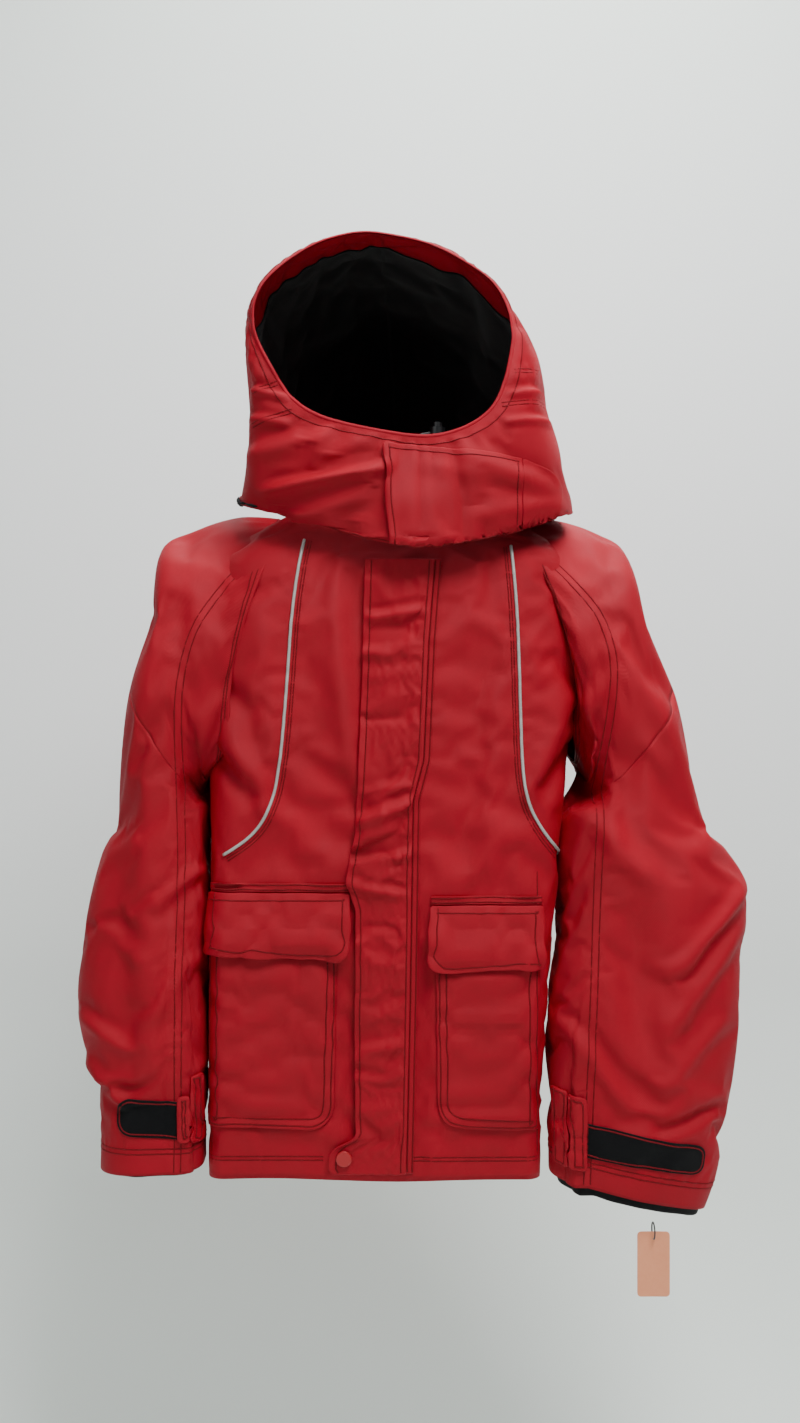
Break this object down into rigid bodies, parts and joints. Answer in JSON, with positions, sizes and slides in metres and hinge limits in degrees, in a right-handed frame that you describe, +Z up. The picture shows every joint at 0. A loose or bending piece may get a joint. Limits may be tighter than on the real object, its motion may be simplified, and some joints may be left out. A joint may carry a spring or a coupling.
{
  "type": "foul weather jacket",
  "caption": "Hooded foul weather jacket hung from its shoulders, with zip, storm flap, patch pockets, cuff straps and a folding hood.",
  "frame": {"origin": "neck of the hanger that carries the shoulders from inside, level with the top of the collar's seat", "axes": "+Z up, -Y is the front of the jacket, +X is the wearer's left"},
  "size_m": [0.638, 0.2622, 1.0216],
  "materials": {
    "red_shell": "coated woven nylon",
    "black_lining": "fleece",
    "cuff_rib": "knitted inner cuff",
    "hook_tape": "hook tape",
    "loop_tape": "loop tape",
    "hanging_tape": "woven tape",
    "reflective_piping": "retroreflective",
    "zip_tape": "knitted tape",
    "zip_plastic": "moulded",
    "snap_paint": "enamelled",
    "snap_metal": "nickel plated",
    "toggle_plastic": "moulded",
    "spring_steel": "bright",
    "elastic_cord": "braided",
    "tag_card": "uncoated card",
    "tag_string": "string"
  },
  "bodies": {
    "jacket": {"front_panel_right": "red_shell", "front_panel_left": "red_shell", "chest_panel_right": "red_shell", "chest_panel_left": "red_shell", "shoulder_panel_right": "red_shell", "shoulder_panel_left": "red_shell", "pocket_right": "red_shell", "pocket_left": "red_shell", "piping": "reflective_piping", "back_panel": "red_shell", "back_yoke": "red_shell", "hem_facing": "red_shell", "body_lining": "black_lining", "stand_collar": "red_shell", "hang_loop": "hanging_tape", "zip_tapes": "zip_tape", "zip_teeth": "zip_plastic", "zip_stops": "zip_plastic", "storm_flap_base": "red_shell", "snap_stud": "snap_metal", "flap_seams": "red_shell", "pocket_loops": "loop_tape"},
    "storm_flap": {"storm_flap": "red_shell", "snap_cap": "snap_paint", "snap_socket": "snap_metal"},
    "zip_slider": {"zip_slider": "zip_plastic", "zip_puller": "zip_plastic"},
    "pocket_flap_right": {"pocket_flap_right": "red_shell", "flap_hooks_right": "hook_tape"},
    "pocket_flap_left": {"pocket_flap_left": "red_shell", "flap_hooks_left": "hook_tape"},
    "hood": {"hood_crown": "red_shell", "hood_side_right": "red_shell", "hood_side_left": "red_shell", "chin_band": "red_shell", "hood_facing": "red_shell", "hood_lining": "black_lining", "chin_flap_seam": "red_shell", "cord_lock_body": "toggle_plastic", "cord_lock_spring": "spring_steel", "hood_eyelets": "snap_metal", "hood_drawcord": "elastic_cord"},
    "chin_flap": {"chin_flap": "red_shell"},
    "cord_lock_plunger": {"cord_lock_plunger": "toggle_plastic"},
    "sleeve_right": {"topsleeve_right": "red_shell", "undersleeve_right": "red_shell", "sleeve_lining_right": "black_lining", "inner_cuff_right": "cuff_rib", "loop_strip_right": "loop_tape", "cuff_tab_root_right": "red_shell"},
    "sleeve_left": {"topsleeve_left": "red_shell", "undersleeve_left": "red_shell", "sleeve_lining_left": "black_lining", "inner_cuff_left": "cuff_rib", "loop_strip_left": "loop_tape", "cuff_tab_root_left": "red_shell"},
    "cuff_tab_right": {"cuff_tab_right": "red_shell"},
    "cuff_tab_left": {"cuff_tab_left": "red_shell"},
    "swing_tag": {"swing_tag": "tag_card", "tag_tie": "tag_string"}
  },
  "joints": [
    {"name": "hood_fold", "type": "hinge", "parent": "jacket", "child": "hood", "pos_m": [0, 0.101, -0.024], "axis": [-1, 0, 0], "range_deg": [0, 100]},
    {"name": "chin_flap_open", "type": "hinge", "parent": "hood", "child": "chin_flap", "pos_m": [0.1182, -0.1375, -0.06], "axis": [0, 0, 1], "range_deg": [0, 95]},
    {"name": "cord_lock_press", "type": "slide", "parent": "hood", "child": "cord_lock_plunger", "axis": [0, 0, -1], "range_m": [0, 0.0028], "stiffness_N_per_m": 400, "springref_m": -0.002, "deforming": ["cord_lock_spring"]},
    {"name": "storm_flap_open", "type": "hinge", "parent": "jacket", "child": "storm_flap", "pos_m": [0.039, -0.1177, -0.119], "axis": [0.0448, 0, 0.999], "range_deg": [0, 90]},
    {"name": "zip_slide", "type": "slide", "parent": "jacket", "child": "zip_slider", "axis": [0.0448, 0, 0.999], "range_m": [-0.54, 0]},
    {"name": "pocket_flap_right_lift", "type": "hinge", "parent": "jacket", "child": "pocket_flap_right", "pos_m": [-0.111, -0.1242, -0.4398], "axis": [-1, 0, 0], "range_deg": [0, 105]},
    {"name": "pocket_flap_left_lift", "type": "hinge", "parent": "jacket", "child": "pocket_flap_left", "pos_m": [0.086, -0.1242, -0.4518], "axis": [-1, 0, 0], "range_deg": [0, 105]},
    {"name": "sleeve_right_raise", "type": "hinge", "parent": "jacket", "child": "sleeve_right", "pos_m": [-0.203, 0, -0.111], "axis": [0, 1, 0], "range_deg": [0, 60]},
    {"name": "sleeve_left_raise", "type": "hinge", "parent": "jacket", "child": "sleeve_left", "pos_m": [0.203, 0, -0.111], "axis": [0, -1, 0], "range_deg": [0, 60]},
    {"name": "cuff_tab_right_open", "type": "hinge", "parent": "sleeve_right", "child": "cuff_tab_right", "pos_m": [-0.1968, -0.131, -0.653], "axis": [0, 0, 1], "range_deg": [0, 100]},
    {"name": "cuff_tab_left_open", "type": "hinge", "parent": "sleeve_left", "child": "cuff_tab_left", "pos_m": [0.1638, -0.141, -0.677], "axis": [0, 0, -1], "range_deg": [0, 100]},
    {"name": "tag_swing", "type": "hinge", "parent": "sleeve_left", "child": "swing_tag", "pos_m": [0.245, -0.122, -0.7526], "axis": [0, 1, 0], "range_deg": [-25, 25]}
  ]
}
